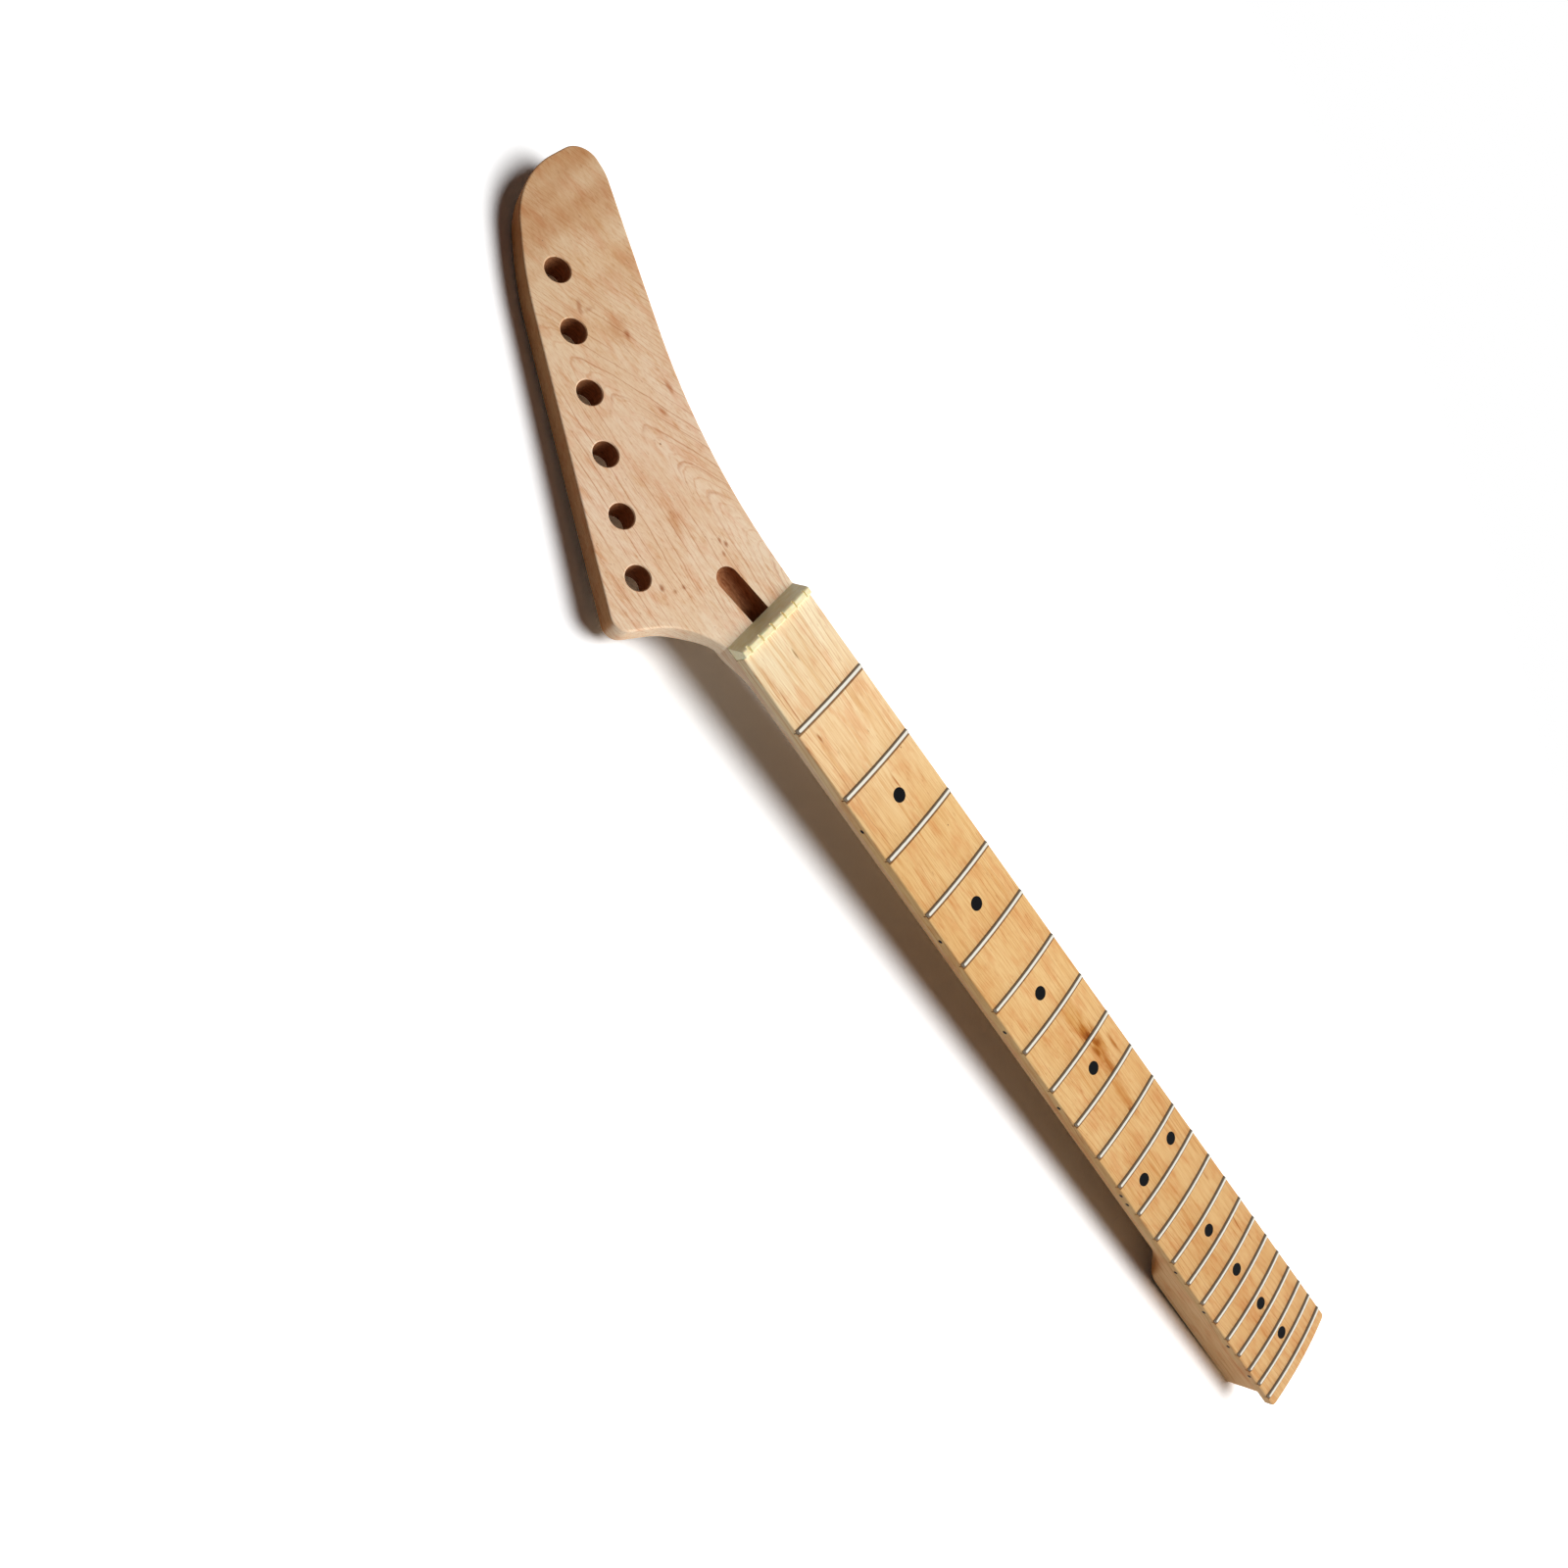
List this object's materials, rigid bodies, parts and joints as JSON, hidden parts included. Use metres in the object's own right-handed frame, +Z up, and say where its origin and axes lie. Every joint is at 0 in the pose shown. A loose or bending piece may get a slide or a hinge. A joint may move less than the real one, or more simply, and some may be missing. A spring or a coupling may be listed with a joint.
{
  "type": "electric guitar neck",
  "caption": "Bolt-on maple electric guitar neck with a fretted fingerboard, a slotted nut, a tilted headstock drilled for a row of tuners, and a truss rod turned by a key behind the nut.",
  "frame": {"origin": "centre of the heel's flat back", "axes": "+X along the neck from the headstock to the heel, +Y to the treble side, +Z up out of the fingerboard"},
  "size_m": [0.6522, 0.131, 0.0578],
  "materials": {
    "neck_maple": "smooth satin maple with fine grain lines and some figure",
    "board_maple": "satin lacquered maple, a little warmer than the neck",
    "bone": "polished cream bone or a synthetic like it",
    "nickel_silver": "polished nickel silver fret wire",
    "black_inlay": "smooth black plastic, level with the wood",
    "black_steel": "blackened steel",
    "brass": "sawn brass"
  },
  "bodies": {
    "neck": {"neck_blank": "neck_maple", "fingerboard": "board_maple", "nut": "bone", "fret_01": "nickel_silver", "fret_02": "nickel_silver", "fret_03": "nickel_silver", "fret_04": "nickel_silver", "fret_05": "nickel_silver", "fret_06": "nickel_silver", "fret_07": "nickel_silver", "fret_08": "nickel_silver", "fret_09": "nickel_silver", "fret_10": "nickel_silver", "fret_11": "nickel_silver", "fret_12": "nickel_silver", "fret_13": "nickel_silver", "fret_14": "nickel_silver", "fret_15": "nickel_silver", "fret_16": "nickel_silver", "fret_17": "nickel_silver", "fret_18": "nickel_silver", "fret_19": "nickel_silver", "fret_20": "nickel_silver", "fret_21": "nickel_silver", "fret_22": "nickel_silver", "face_dot_3": "black_inlay", "face_dot_5": "black_inlay", "face_dot_7": "black_inlay", "face_dot_9": "black_inlay", "face_dot_15": "black_inlay", "face_dot_17": "black_inlay", "face_dot_19": "black_inlay", "face_dot_21": "black_inlay", "face_dot_12_bass": "black_inlay", "face_dot_12_treble": "black_inlay", "side_dot_3": "black_inlay", "side_dot_5": "black_inlay", "side_dot_7": "black_inlay", "side_dot_9": "black_inlay", "side_dot_15": "black_inlay", "side_dot_17": "black_inlay", "side_dot_19": "black_inlay", "side_dot_21": "black_inlay", "side_dot_12_head": "black_inlay", "side_dot_12_heel": "black_inlay", "truss_fixed_bar": "black_steel", "truss_front_block": "brass", "truss_rear_block": "brass"},
    "truss_adjuster": {"truss_turning_rod": "black_steel", "truss_hex_barrel": "black_steel"}
  },
  "joints": [
    {"name": "truss_rod_turn", "type": "hinge", "parent": "neck", "child": "truss_adjuster", "pos_m": [-0.41601, 0, 0.01265], "axis": [1, 0, 0], "range_deg": [-270, 270]}
  ]
}
